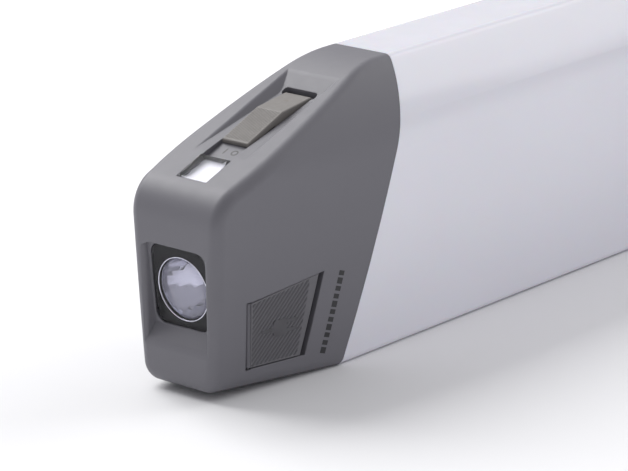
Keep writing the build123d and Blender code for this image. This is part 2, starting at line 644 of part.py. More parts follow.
def led_lead(side):
    """A lead from the driver board, through the collar, to the LED strip on its side."""
    x = 1.43 * side
    points = [(0.6 * side, BOARD_Y1 + 0.2, 30.0), (1.2 * side, 45.5, 33.0), (x, 52.0, LED_LEAD_Z),
              (x, TUBE_FROM + 1.8 + SEAM_LEAN * LED_LEAD_Z, LED_LEAD_Z)]
    return wire(points, [4.0, 4.0], 0.38)


# ---------------------------------------------------------------- tail
def tail_cap():
    """Closed end of the tube, with an upright end face."""
    solid = tube_form(TAIL_SEAM_Y, LENGTH + 40) & box(-30, 30, 200, LENGTH, -5, HEIGHT + 5)
    solid = fillet(solid.faces().sort_by(Axis.Y)[-1].edges(), TAIL_EDGE_R)
    hollow = tube_form(TAIL_SEAM_Y - 5, LENGTH + 40, WALL) & box(-30, 30, 200, LENGTH - 2.4, -5, HEIGHT + 5)
    seat = tube_form(TAIL_SEAM_Y - 5, TAIL_SEAM_Y + SPIGOT_BACK + 0.1, SPIGOT_OUT - 0.06)
    cap = solid - hollow - seat
    for z in TAIL_SCREW_ZS:
        cap = cap - Pos(0, LENGTH, z) * Rot(90, 0, 0) * countersunk(1.35, 2.5, 0.0, 3.0)
    return cap


TAIL_SCREW_ZS = (10.0, 46.0)


def tail_frame():
    frame = seam_frame(TAIL_SEAM_Y, -1)
    for z in TAIL_SCREW_ZS:
        start = TAIL_SEAM_Y - SPIGOT_REACH + SEAM_LEAN * z + 1.3
        frame = frame + rod_y(2.6, 0, z, start, LENGTH - 2.5) - rod_y(1.12, 0, z, LENGTH - 9.5, LENGTH)
    return frame.solid()


def tail_screws():
    return Compound(children=[Pos(0, LENGTH - 0.02, z) * Rot(90, 0, 0) * screw(1.1, 2.45, 9.0)
                              for z in TAIL_SCREW_ZS])


# ---------------------------------------------------------------- write every piece
PARTS = {
    "head_shell": head_shell(),
    "torch_window": torch_window(),
    "torch_bezel": torch_bezel(),
    "torch_lens": torch_lens(),
    "torch_reflector": torch_reflector(),
    "torch_led": torch_led(),
    "torch_led_board": torch_led_board(),
    "indicator_window": indicator_window(),
    "indicator_led": indicator_led(),
    "switch_guide": switch_guide(),
    "switch_knob": switch_knob(),
    "switch_lever": switch_lever(),
    "slide_switch": slide_switch(),
    "switch_board": switch_board(),
    "port_flap": port_flap(),
    "flap_hinge_pin": flap_hinge_pin(),
    "port_seal": port_seal(),
    "usb_a_port": usb_a_port(),
    "micro_usb_port": micro_usb_port(),
    "port_board": port_board(),
    "driver_board": driver_board(),
    "driver_inductor": driver_inductor(),
    "driver_chips": driver_chips(),
    "driver_capacitors": driver_capacitors(),
    "board_screws": board_screws(),
    "head_frame": head_frame(),
    "head_gasket": gasket(SEAM_Y, 1),
    "head_screws": head_screws(),
    "diffuser_tube": diffuser_tube(),
    "led_carrier": led_carrier(),
    "led_strip_left": led_strip(-1),
    "led_strip_right": led_strip(1),
    "strip_leds_left": strip_leds(-1),
    "strip_leds_right": strip_leds(1),
    "carrier_screws": carrier_screws(),
    "battery_tray": battery_tray(),
    "battery_cover": battery_cover(),
    "battery_cell_front": battery_cell(0),
    "battery_cell_rear": battery_cell(1),
    "battery_tabs": battery_tabs(),
    "battery_lead_plus": battery_lead(1),
    "battery_lead_minus": battery_lead(-1),
    "led_lead_left": led_lead(-1),
    "led_lead_right": led_lead(1),
    "tail_frame": tail_frame(),
    "tail_gasket": gasket(TAIL_SEAM_Y, -1),
    "tail_cap": tail_cap(),
    "tail_screws": tail_screws(),
}

os.makedirs("parts", exist_ok=True)
for name, shape in PARTS.items():
    export_step(Pos(0, -LENGTH / 2, 0) * shape, f"parts/{name}.step")

axis = BAY.y_dir
pivot = BAY.from_local_coords((HINGE_U, 0, -HINGE_DEPTH))
print("flap hinge axis", [round(v, 5) for v in axis], "through",
      [round(v, 4) for v in (pivot.X, pivot.Y - LENGTH / 2, pivot.Z)])
print("slide direction", [0.0, round(-SLOPE_C, 5), round(-SLOPE_S, 5)], "travel", KNOB_TRAVEL)
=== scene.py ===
"""Looks of the hand-held LED light tube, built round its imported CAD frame.

Local frames are in millimetres and the row frame is in metres.  The tube runs along Y, the torch faces -Y
and the port flap is on the +X side.
"""
import json
import math
import bmesh
import bpy
from mathutils import Matrix, Vector
from mathutils.bvhtree import BVHTree


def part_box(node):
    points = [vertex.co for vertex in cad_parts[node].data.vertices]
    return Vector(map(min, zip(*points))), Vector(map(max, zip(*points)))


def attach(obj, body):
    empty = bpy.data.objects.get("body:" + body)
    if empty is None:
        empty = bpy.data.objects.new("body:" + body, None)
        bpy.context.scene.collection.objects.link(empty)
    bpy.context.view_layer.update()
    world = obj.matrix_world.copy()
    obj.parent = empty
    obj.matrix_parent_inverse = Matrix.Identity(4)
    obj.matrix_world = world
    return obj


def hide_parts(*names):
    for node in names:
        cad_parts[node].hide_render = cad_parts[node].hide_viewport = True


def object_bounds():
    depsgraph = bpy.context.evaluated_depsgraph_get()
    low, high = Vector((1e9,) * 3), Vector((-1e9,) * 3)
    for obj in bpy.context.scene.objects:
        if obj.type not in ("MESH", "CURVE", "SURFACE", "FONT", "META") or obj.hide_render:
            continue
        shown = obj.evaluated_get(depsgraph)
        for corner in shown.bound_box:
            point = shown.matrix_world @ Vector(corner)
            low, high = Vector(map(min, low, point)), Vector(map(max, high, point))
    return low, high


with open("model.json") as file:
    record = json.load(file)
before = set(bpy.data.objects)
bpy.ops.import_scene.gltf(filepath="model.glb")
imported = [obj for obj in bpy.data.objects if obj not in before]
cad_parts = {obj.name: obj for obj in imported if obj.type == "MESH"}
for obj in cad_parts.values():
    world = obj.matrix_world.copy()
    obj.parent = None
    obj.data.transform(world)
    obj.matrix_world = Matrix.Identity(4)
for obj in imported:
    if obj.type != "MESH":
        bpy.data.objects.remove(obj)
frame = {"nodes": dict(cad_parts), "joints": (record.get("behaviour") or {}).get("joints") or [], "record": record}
cad_low, cad_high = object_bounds()
MM = 0.001
X_AXIS = Vector((1, 0, 0))


# ---------------------------------------------------------------- local frames, in millimetres
def axes(origin, x_axis, y_axis):
    """Matrix from a local frame in millimetres, with its origin in metres, to the row frame."""
    x = Vector(x_axis).normalized()
    z = x.cross(Vector(y_axis)).normalized()
    turn = Matrix((x, z.cross(x), z)).transposed().to_4x4()
    return Matrix.Translation(origin) @ turn @ Matrix.Scale(MM, 4)


def box_in(local, *nodes):
    """Lowest and highest corner of CAD nodes in a local frame."""
    inverse = local.inverted()
    points = [inverse @ v.co for n in nodes for v in frame["nodes"][n].data.vertices]
    return [Vector([pick(p[i] for p in points) for i in range(3)]) for pick in (min, max)]


def joint(name):
    return next(j for j in frame["joints"] if j["name"] == name)


def mount(name):
    return next(m for m in frame["record"]["mounts"] if m["name"] == name)


SLOPE_FOOT = 40.2        # height at which the slope would meet the front face
TORCH_TILT = math.radians(4.7)
HINGE_INSET = (-8.35, 0.85)     # the hinge axis in the bay's frame: along it, and behind the head's side

slide_axis = Vector(joint("switch_slide")["axis"])
SLOPE = axes((0, cad_low.y, SLOPE_FOOT * MM), X_AXIS, -slide_axis)      # x, up the slope, out

hinge = joint("flap_hinge")
bay_up, bay_out = -Vector(hinge["axis"]), Vector(mount("usb_output")["axis"])
bay_along = bay_up.cross(bay_out).normalized()
bay_origin = Vector(hinge["pos_m"]) - (HINGE_INSET[0] * bay_along - HINGE_INSET[1] * bay_out) * MM
BAY = axes(bay_origin, bay_along, bay_up)                               # rearwards, up, out

torch_up = Vector((0, -math.sin(TORCH_TILT), math.cos(TORCH_TILT)))
lens_low, lens_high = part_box("torch_lens")
OPTIC = axes((lens_low + lens_high) / 2, X_AXIS, torch_up)              # right, up, out


# ---------------------------------------------------------------- materials
def node(tree, kind, **values):
    made = tree.nodes.new(kind)
    for key, value in values.items():
        if key in made.inputs:
            made.inputs[key].default_value = value
        else:
            setattr(made, key, value)
    return made


def noise(tree, scale, detail=3.0):
    """A noise whose size goes by the piece's own metres."""
    place = node(tree, "ShaderNodeTexCoord")
    made = node(tree, "ShaderNodeTexNoise")
    made.inputs["Scale"].default_value = scale
    made.inputs["Detail"].default_value = detail
    tree.links.new(place.outputs["Object"], made.inputs["Vector"])
    return made.outputs["Fac"]


def ramp(tree, value, low, high):
    """Two colours or greys blended by a value."""
    made = tree.nodes.new("ShaderNodeValToRGB")
    first, last = made.color_ramp.elements
    first.position, last.position = 0.35, 0.65
    first.color, last.color = (*low, 1), (*high, 1)
    tree.links.new(value, made.inputs["Fac"])
    return made.outputs["Color"]


def finish_material(name, colour, roughness, vary=0.05, blotch=90.0, grain=0.0, grain_scale=2500.0,
                    rough_vary=0.05, soft_edge=0.0, **sockets):
    """A Principled finish with slow colour and gloss variation, a fine surface grain and softened edges."""
    material = bpy.data.materials.new(name)
    material.use_nodes = True
    tree = material.node_tree
    shader = tree.nodes["Principled BSDF"]
    for socket, value in sockets.items():
        shader.inputs[socket.replace("_", " ")].default_value = value
    cloud = noise(tree, blotch)
    low = [c * (1 - vary) for c in colour]
    high = [min(1.0, c * (1 + vary)) for c in colour]
    tree.links.new(ramp(tree, cloud, low, high), shader.inputs["Base Color"])
    wear = noise(tree, blotch * 7, 5.0)
    rough = ramp(tree, wear, [roughness - rough_vary] * 3, [roughness + rough_vary] * 3)
    tree.links.new(rough, shader.inputs["Roughness"])
    if grain:
        bump = node(tree, "ShaderNodeBump")
        bump.inputs["Strength"].default_value = 1.0
        bump.inputs["Distance"].default_value = grain * MM
        tree.links.new(noise(tree, grain_scale, 2.0), bump.inputs["Height"])
        if soft_edge:
            rounding = node(tree, "ShaderNodeBevel", samples=4)
            rounding.inputs["Radius"].default_value = soft_edge * MM
            tree.links.new(rounding.outputs["Normal"], bump.inputs["Normal"])
        tree.links.new(bump.outputs["Normal"], shader.inputs["Normal"])
    return material


CLEAR_SPECK = 0.02       # how far a clear finish's roughness varies


def clear_material(name, tint, roughness, ior=1.49):
    """Clear plastic or glass that lets lamps through to what is behind it."""
    material = bpy.data.materials.new(name)
    material.use_nodes = True
    tree = material.node_tree
    shader = tree.nodes["Principled BSDF"]
    shader.inputs["Base Color"].default_value = (*tint, 1)
    shader.inputs["Transmission Weight"].default_value = 1.0
    shader.inputs["IOR"].default_value = ior
    haze = ramp(tree, noise(tree, 400.0, 4.0), [roughness] * 3, [roughness + CLEAR_SPECK] * 3)
    tree.links.new(haze, shader.inputs["Roughness"])
    passing = node(tree, "ShaderNodeBsdfTransparent")
    passing.inputs["Color"].default_value = (*tint, 1)
    path = node(tree, "ShaderNodeLightPath")
    mix = node(tree, "ShaderNodeMixShader")
    tree.links.new(path.outputs["Is Shadow Ray"], mix.inputs[0])
    tree.links.new(shader.outputs[0], mix.inputs[1])
    tree.links.new(passing.outputs[0], mix.inputs[2])
    tree.links.new(mix.outputs[0], tree.nodes["Material Output"].inputs["Surface"])
    return material


HEAD_GREY = finish_material("head_grey", (0.163, 0.16, 0.18), 0.48, 0.01, 60, grain=0.004,
                            grain_scale=3500, rough_vary=0.015, soft_edge=0.3)
TUBE_OPAL = finish_material("tube_opal", (0.83, 0.815, 0.885), 0.2, 0.01, 25, rough_vary=0.03,
                            Subsurface_Weight=0.15, Subsurface_Scale=0.004, Coat_Weight=0.3,
                            Coat_Roughness=0.08)
KNOB_BEIGE = finish_material("knob_beige", (0.205, 0.192, 0.181), 0.55, 0.03, 120, grain=0.006)
FLAP_GREY = finish_material("flap_grey", (0.14, 0.137, 0.15), 0.5, 0.02, 60, grain=0.004,
                            grain_scale=3500)
FLAP_MARK = finish_material("flap_mark", (0.085, 0.083, 0.092), 0.5, 0.1, 300)
KNOB_MARK = finish_material("knob_mark", (0.2, 0.18, 0.16), 0.5, 0.1, 300)
MARK_DARK = finish_material("mark_dark", (0.022, 0.022, 0.024), 0.45, 0.1, 300)
BLACK = finish_material("black_plastic", (0.012, 0.012, 0.013), 0.35, 0.1, 150, grain=0.004)
BEZEL = finish_material("torch_bezel_black", (0.01, 0.01, 0.011), 0.6, 0.1, 150,
                        Specular_IOR_Level=0.15)
FRAME_PLASTIC = finish_material("frame_plastic", (0.1, 0.1, 0.105), 0.5, 0.08, 120, grain=0.006)
MIRROR = finish_material("mirror_cup", (0.56, 0.56, 0.61), 0.08, 0.02, 300, rough_vary=0.03,
                         Metallic=1.0)
LED_DOME = finish_material("led_dome", (0.8, 0.79, 0.7), 0.2, 0.04, 600, Coat_Weight=1.0)
PHOSPHOR = finish_material("led_phosphor", (0.85, 0.68, 0.18), 0.3, 0.08, 600, Coat_Weight=0.8)
BOARD_GREEN = finish_material("circuit_board", (0.03, 0.16, 0.08), 0.35, 0.12, 400, grain=0.01,
                              grain_scale=1500, Coat_Weight=0.3)
BOARD_WHITE = finish_material("strip_board", (0.8, 0.8, 0.78), 0.4, 0.03, 200)
STEEL = finish_material("steel", (0.55, 0.55, 0.56), 0.32, 0.08, 500, rough_vary=0.1, Metallic=1.0)
ALUMINIUM = finish_material("carrier_metal", (0.72, 0.72, 0.74), 0.38, 0.05, 200, rough_vary=0.1,
                            Metallic=1.0)
CELL_WRAP = finish_material("cell_wrap", (0.04, 0.2, 0.38), 0.25, 0.08, 150, Coat_Weight=0.4)
WIRE_RED = finish_material("wire_red", (0.5, 0.03, 0.02), 0.45, 0.1, 500)
WIRE_BLACK = finish_material("wire_black", (0.02, 0.02, 0.02), 0.45, 0.1, 500)
# black rubber for the gaskets and the port seal; the port seal's black pad on the bay floor is partly real black
# rubber and partly painted shade that darkens the narrow slot beside the flap
SEAL_AND_SLOT_SHADE = finish_material("seal", (0.02, 0.02, 0.02), 0.7, 0.15, 400, grain=0.01)
GOLD = finish_material("contact_gold", (0.9, 0.62, 0.25), 0.25, 0.05, 600, Metallic=1.0)
RIM = finish_material("lens_rim", (0.9, 0.9, 0.95), 0.2, 0.02, 300, Metallic=1.0)
CLEAR = clear_material("clear_window", (0.97, 0.97, 1.0), 0.0)
WINDOW = clear_material("thin_window", (0.96, 0.96, 1.0), 0.0, ior=1.2)
LIGHT_GUIDE = finish_material("light_guide", (0.9, 0.9, 0.95), 0.4, 0.02, 200)

CAD_FINISH = {
    HEAD_GREY: ["head_shell", "tail_cap", "port_flap", "switch_guide"],
    TUBE_OPAL: ["diffuser_tube"],
    WINDOW: ["torch_window"],
    CLEAR: ["torch_lens", "indicator_window"],
    KNOB_BEIGE: ["switch_knob"],
    BEZEL: ["torch_bezel"],
    BLACK: ["switch_lever", "driver_inductor", "driver_chips", "battery_tray", "battery_cover"],
    FRAME_PLASTIC: ["head_frame", "tail_frame"],
    MIRROR: ["torch_reflector"],
    LED_DOME: ["torch_led", "indicator_led"],
    PHOSPHOR: ["strip_leds_left", "strip_leds_right"],
    BOARD_GREEN: ["switch_board", "port_board", "driver_board", "torch_led_board"],
    BOARD_WHITE: ["led_strip_left", "led_strip_right"],
    STEEL: ["flap_hinge_pin", "usb_a_port", "micro_usb_port", "slide_switch", "board_screws", "head_screws",
            "tail_screws", "carrier_screws", "battery_tabs"],
    ALUMINIUM: ["led_carrier", "driver_capacitors"],
    CELL_WRAP: ["battery_cell_front", "battery_cell_rear"],
    WIRE_RED: ["battery_lead_plus", "led_lead_right"],
    WIRE_BLACK: ["battery_lead_minus", "led_lead_left"],
    # port_seal's black is partly its real rubber and partly painted shade for the deep slot beside the flap
    SEAL_AND_SLOT_SHADE: ["head_gasket", "tail_gasket", "port_seal"],
}


def paint_cad_nodes():
    """Gives each CAD node its finish."""
    for material, names in CAD_FINISH.items():
        for name in names:
            mesh = frame["nodes"][name].data
            mesh.materials.clear()
            mesh.materials.append(material)


# ---------------------------------------------------------------- mesh helpers
def add_piece(name, local, vertices, faces, body, slot, materials, replaced=(), picks=None, sharp=35):
    """A piece from points in a local frame; picks gives each face's material, where there are several."""
    mesh = bpy.data.meshes.new(name)
    mesh.from_pydata([local @ Vector(v) for v in vertices], [], faces)
    shape = bmesh.new()
    shape.from_mesh(mesh)
    bmesh.ops.recalc_face_normals(shape, faces=shape.faces)
    shape.to_mesh(mesh)
    shape.free()
    for material in materials:
        mesh.materials.append(material)
    if picks:
        mesh.polygons.foreach_set("material_index", picks)
    mesh.update()
    mesh.shade_smooth()
    mesh.set_sharp_from_angle(angle=math.radians(sharp))
    piece = bpy.data.objects.new(name, mesh)
    bpy.context.scene.collection.objects.link(piece)
    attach(piece, body)
    if replaced:
        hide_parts(*replaced)
    return piece


def smooth_step(value, low, high):
    t = min(1.0, max(0.0, (value - low) / (high - low)))
    return t * t * (3 - 2 * t)


def edge_drop(distance, radius):
    """How far a rounded edge falls below its face at a distance in from the side."""
    if distance >= radius:
        return 0.0
    return radius - math.sqrt(max(0.0, radius ** 2 - (radius - distance) ** 2))


def rib(across, pitch, depth):
    """Depth of rounded ribs with narrow grooves between them, from 0 on a crest to depth in a groove."""
    phase = math.cos(2 * math.pi * across / pitch)
    return depth * (0.5 - 0.5 * phase) ** 1.6


def spaced(low, high, step, edge=()):
    """Even values from low to high, with extra ones close to both ends for a rounded edge."""
    count = max(1, round((high - low) / step))
    values = {round(low + (high - low) * i / count, 5) for i in range(count + 1)}
    for e in edge:
        values |= {round(low + e, 5), round(high - e, 5)}
    return sorted(values)


def block_faces(columns, rows):
    """Top and side faces of a block whose top is a grid, and the grid's rim points in order.

    The bottom's points come after the grid's, one below each rim point.
    """
    def top(i, j):
        return i * rows + j

    faces = [(top(i, j), top(i + 1, j), top(i + 1, j + 1), top(i, j + 1))
             for i in range(columns - 1) for j in range(rows - 1)]
    rim = [top(i, 0) for i in range(columns)]
    rim += [top(columns - 1, j) for j in range(1, rows)]
    rim += [top(i, rows - 1) for i in range(columns - 2, -1, -1)]
    rim += [top(0, j) for j in range(rows - 2, 0, -1)]
    base = columns * rows
    for k in range(len(rim)):
        following = (k + 1) % len(rim)
        faces.append((rim[following], rim[k], base + k, base + following))
    return faces, rim


def slab(name, local, across, along, top, bottom, *args, **settings):
    """A closed block over a grid of local x and y values; functions give its top and bottom heights."""
    faces, rim = block_faces(len(across), len(along))
    vertices = [(x, y, top(x, y)) for x in across for y in along]
    floor = [(vertices[k][0], vertices[k][1], bottom(*vertices[k][:2])) for k in rim]
    base = len(vertices)
    last, far = len(across) - 1, len(along) - 1
    # the bottom is a strip of quads between the rim's left and right sides, with one many-sided face
    # at its near end and one at its far end
    right = [base + last + j for j in range(far + 1)]
    left = [base] + [base + len(rim) - j for j in range(1, far + 1)]
    faces += [(left[j], left[j + 1], right[j + 1], right[j]) for j in range(1, far - 1)]
    near_rim = [base + i for i in range(last + 1)]
    faces.append(tuple([left[1]] + near_rim + [right[1]]))
    far_rim = [base + last + far + i for i in range(last + 1)]
    faces.append(tuple([right[far - 1]] + far_rim + [left[far - 1]]))
    return add_piece(name, local, vertices + floor, faces, *args, **settings)


def turned(name, local, profile, steps, *args, **settings):
    """A closed round piece: its (radius, height) profile turned about the local z axis."""
    vertices, faces, rings = [], [], []
    turns = [2 * math.pi * k / steps for k in range(steps)]
    for radius, height in profile:
        if radius == 0:
            rings.append([len(vertices)])
            vertices.append((0, 0, height))
            continue
        rings.append(list(range(len(vertices), len(vertices) + steps)))
        vertices += [(radius * math.cos(turn), radius * math.sin(turn), height) for turn in turns]
    pairs = list(zip(rings, rings[1:]))
    if len(rings[0]) > 1:
        pairs.append((rings[-1], rings[0]))
    for lower, upper in pairs:
        for k in range(steps):
            following = (k + 1) % steps
            if len(lower) == 1:
                faces.append((lower[0], upper[following], upper[k]))
            elif len(upper) == 1:
                faces.append((lower[k], lower[following], upper[0]))
            else:
                faces.append((lower[k], lower[following], upper[following], upper[k]))
    return add_piece(name, local, vertices, faces, *args, **settings)


CAP_STEPS = 8            # segments of a stroke's round end
CORNER_STEPS = 6         # segments of a round corner


def stroke(points, width):
    """Outline of a round-ended bar between two points."""
    (x0, y0), (x1, y1) = points
    heading = math.atan2(y1 - y0, x1 - x0)
    outline = []
    for (x, y), start in (((x1, y1), -90), ((x0, y0), 90)):
        for k in range(CAP_STEPS + 1):
            turn = heading + math.radians(start + 180 * k / CAP_STEPS)
            outline.append((x + width / 2 * math.cos(turn), y + width / 2 * math.sin(turn)))
    return outline


def rounded_box(x0, x1, y0, y1, radius):
    """Outline of a rectangle with round corners."""
    corners = ((x1 - radius, y0 + radius, -90), (x1 - radius, y1 - radius, 0),
               (x0 + radius, y1 - radius, 90), (x0 + radius, y0 + radius, 180))
    outline = []
    for x, y, start in corners:
        for k in range(CORNER_STEPS + 1):
            turn = math.radians(start + 90 * k / CORNER_STEPS)
            outline.append((x + radius * math.cos(turn), y + radius * math.sin(turn)))
    return outline


def add_marks(name, local, outlines, surface, tile, *args, **settings):
    """Thin closed tiles on a surface; tile is how far they stand proud of it, and their depth."""
    proud, depth = tile
    vertices, faces = [], []
    for outline in outlines:
        count, first = len(outline), len(vertices)
        tops = [(x, y, surface(x, y) + proud) for x, y in outline]
        vertices += tops + [(x, y, height - depth) for x, y, height in tops]
        faces.append(tuple(first + k for k in range(count)))
        faces.append(tuple(first + count + k for k in reversed(range(count))))
        for k in range(count):
            following = first + (k + 1) % count
            faces.append((following, first + k, first + count + k, count + following))
    return add_piece(name, local, vertices, faces, *args, **settings)


RAY_START = 6.0          # height that a ray falls from, clear of every piece


def surface_height(local, name):
    """A function that gives the outer height of a CAD node over a point of a local frame."""
    inverse = local.inverted()
    mesh = frame["nodes"][name].data
    points = [inverse @ v.co for v in mesh.vertices]
    tree = BVHTree.FromPolygons(points, [tuple(p.vertices) for p in mesh.polygons])

    def height(x, y):
        hit = tree.ray_cast(Vector((x, y, RAY_START)), Vector((0, 0, -1)))[0]
        return hit.z if hit else 0.0

    return height


def lofted(name, local, rings, *args, **settings):
    """A closed piece through outlines of equal length, each given as (outline, height)."""
    count = len(rings[0][0])
    vertices = [(x, y, height) for outline, height in rings for x, y in outline]
    faces = [tuple(reversed(range(count))), tuple(range(len(vertices) - count, len(vertices)))]
    for k in range(len(rings) - 1):
        low, high = k * count, (k + 1) * count
        faces += [(low + i, low + (i + 1) % count, high + (i + 1) % count, high + i) for i in range(count)]
    return add_piece(name, local, vertices, faces, *args, **settings)


TIP_INSET = 0.6          # a bar's tip is inset by this much of its corner radius


def soft_bar(name, local, low, high, radius, *args, **settings):
    """A bar along local z with round long edges and a chamfered tip."""
    def outline(inset):
        return rounded_box(low[0] + inset, high[0] - inset, low[1] + inset, high[1] - inset, radius)

    tip = outline(radius * TIP_INSET)
    rings = [(outline(0), low[2]), (outline(0), high[2] - radius), (tip, high[2])]
    return lofted(name, local, rings, *args, **settings)


# ---------------------------------------------------------------- slide knob
KNOB_LOW, KNOB_HIGH = box_in(SLOPE, "switch_knob")
KNOB_NEAR_H, KNOB_FAR_H = 0.1, -1.45     # heights of the near lip and of the far end
KNOB_RIDGE = 30.3        # where the ribbed near part meets the smooth far part, up the slope
KNOB_STEP = 27.2         # from here up the slope the knob reaches down to its base
KNOB_FOOT = -0.8         # underside of the near part, short of the step
KNOB_ROUND = 0.35        # radius of its rounded edges
KNOB_RIB = (0.52, 0.08)  # pitch and depth
KNOB_MESH = (0.075, 0.6)                 # grid step over the ribs and over the smooth part
KNOB_EDGE_LINES = (0.04, 0.1, 0.2, 0.3)  # extra grid lines in from an edge
RIB_HEADING = (0.53, 0.85)
ARROW_BASE, ARROW_HALF, ARROW_LENGTH = 34.9, 0.75, 0.9
THIN_TILE = (0.012, 0.08)                # proud of the surface, and depth


def knob_height(x, s):
    """Top of the knob: it rises from the near lip to the ridge, then falls towards the far end."""
    low, high = KNOB_LOW, KNOB_HIGH
    from_side, from_end = min(x - low.x, high.x - x), min(s - low.y, high.y - s)
    if s < KNOB_RIDGE:
        height = KNOB_NEAR_H + (high.z - KNOB_NEAR_H) * (s - low.y) / (KNOB_RIDGE - low.y)
    else:
        height = high.z + (KNOB_FAR_H - high.z) * (s - KNOB_RIDGE) / (high.y - KNOB_RIDGE)
    height -= edge_drop(from_side, KNOB_ROUND) + edge_drop(from_end, KNOB_ROUND)
    # the ribs fade in past the near lip and out before the ridge and the sides
    ribbed = smooth_step(s, low.y + 0.5, low.y + 0.75) * smooth_step(KNOB_RIDGE - s, 0.1, 0.35)
    ribbed *= smooth_step(from_side, 0.25, 0.5)
    across = x * RIB_HEADING[1] - s * RIB_HEADING[0]
    return height - rib(across, *KNOB_RIB) * ribbed


def add_knob():
    """Two-sloped slide knob with a finely ribbed near part, and the arrow on its far part."""
    fine, coarse = KNOB_MESH
    across = spaced(KNOB_LOW.x, KNOB_HIGH.x, fine, KNOB_EDGE_LINES)
    ribbed = spaced(KNOB_LOW.y, KNOB_RIDGE, fine, KNOB_EDGE_LINES)
    smooth = spaced(KNOB_RIDGE, KNOB_HIGH.y, coarse, KNOB_EDGE_LINES)
    slab("knob", SLOPE, across, sorted(set(ribbed + smooth)), knob_height,
         lambda x, s: KNOB_FOOT if s < KNOB_STEP else KNOB_LOW.z, "slide_knob", "knob_beige", [KNOB_BEIGE],
         replaced=["switch_knob"])
    arrow = [(-ARROW_HALF, ARROW_BASE), (ARROW_HALF, ARROW_BASE), (0, ARROW_BASE + ARROW_LENGTH)]
    add_marks("knob_arrow", SLOPE, [arrow], knob_height, THIN_TILE, "slide_knob", "knob_beige", [KNOB_MARK])


# ---------------------------------------------------------------- indicator
INDICATOR_RIB = (0.62, 0.3)              # pitch and depth
INDICATOR_HEADING = (0.3, 0.95)
INDICATOR_FLANGE = 0.9                   # width of the CAD piece's flange, which lies under the shell
INDICATOR_TOP = (0.05, 0.3)              # height at the near end, and the rise to the far end
INDICATOR_ROUND = 0.3                    # radius of its rounded edges
INDICATOR_FOOT = 1.3                     # its underside above the CAD piece's
INDICATOR_MESH = (0.09, 0.2)             # grid step across and along
INDICATOR_EDGE_LINES = (0.05, 0.15, 0.25)


def add_indicator():
    """Clear ribbed prism over the indicator LED, with a white light guide under it."""
    low, high = box_in(SLOPE, "indicator_window")
    x0, x1 = low.x + INDICATOR_FLANGE, high.x - INDICATOR_FLANGE
    s0, s1 = low.y + INDICATOR_FLANGE, high.y
    near_height, rise = INDICATOR_TOP

    def top(x, s):
        from_edge = min(x - x0, x1 - x, s - s0, s1 - s)
        height = near_height + rise * (s - s0) / (s1 - s0) - edge_drop(from_edge, INDICATOR_ROUND)
        across = x * INDICATOR_HEADING[1] - s * INDICATOR_HEADING[0]
        return height - rib(across, *INDICATOR_RIB) * smooth_step(from_edge, INDICATOR_ROUND, 0.5)

    across = spaced(x0, x1, INDICATOR_MESH[0], INDICATOR_EDGE_LINES)
    along = spaced(s0, s1, INDICATOR_MESH[1], INDICATOR_EDGE_LINES)
    columns, rows = len(across) - 1, len(along) - 1
    # the top is clear, the sides are black and the bottom is the light guide
    picks = [0] * (columns * rows) + [1] * (2 * columns + 2 * rows) + [2] * rows
    slab("indicator", SLOPE, across, along, top, lambda x, s: low.z + INDICATOR_FOOT, "case", "clear_window",
         [CLEAR, BLACK, LIGHT_GUIDE], replaced=["indicator_window"], picks=picks)


# ---------------------------------------------------------------- port flap
FLAP_RIB = (0.78, 0.34)                  # pitch and depth
FLAP_STRIP = (1.3, 2.2)  # smooth finger strip beside the slot, at the bottom and at the top
FLAP_BACK = -1.4
FLAP_LONG, FLAP_TALL = 17.0, 14.4        # nominal size, which spaces its grid and its border
FLAP_ROUND = 0.25                        # radius of its rounded edges
FLAP_MESH, FLAP_EDGE_LINES = 0.11, (0.04, 0.1, 0.18)
FLAP_SURFACE_INSET = 0.005               # the outer surface is read this share of the outline inside it
KNUCKLE_R, PIN_R = 0.72, 0.4
KNUCKLE_CHAMFER, KNUCKLE_GAP = 0.1, 0.02
PLUG_TILE = (0.02, 0.35)                 # proud of the surface, and depth
FLAP_CORNERS = ((-8.35, -6.6), (4.4, -7.1), (9.4, 8.8), (-8.35, 6.7))


def flap_point(a, b):
    """A point of the flap's outline, from its front lower corner (0, 0) to its rear upper one (1, 1)."""
    p, q, r, s = (Vector(c) for c in FLAP_CORNERS)
    return p.lerp(q, a).lerp(s.lerp(r, a), b)


def add_flap_knuckle():
    """The flap's sleeve round the hinge pin."""
    low, high = FLAP_CORNERS[0][1] + KNUCKLE_GAP, FLAP_CORNERS[3][1] - KNUCKLE_GAP
    inner = KNUCKLE_R - KNUCKLE_CHAMFER
    profile = [(PIN_R, low), (inner, low), (KNUCKLE_R, low + KNUCKLE_CHAMFER),
               (KNUCKLE_R, high - KNUCKLE_CHAMFER), (inner, high), (PIN_R, high)]
    on_axis = BAY @ Matrix.Translation((HINGE_INSET[0], 0, -HINGE_INSET[1]))
    knuckle = on_axis @ Matrix.Rotation(-math.pi / 2, 4, "X")
    turned("flap_knuckle", knuckle, profile, 32, "flap", "head_grey", [HEAD_GREY])


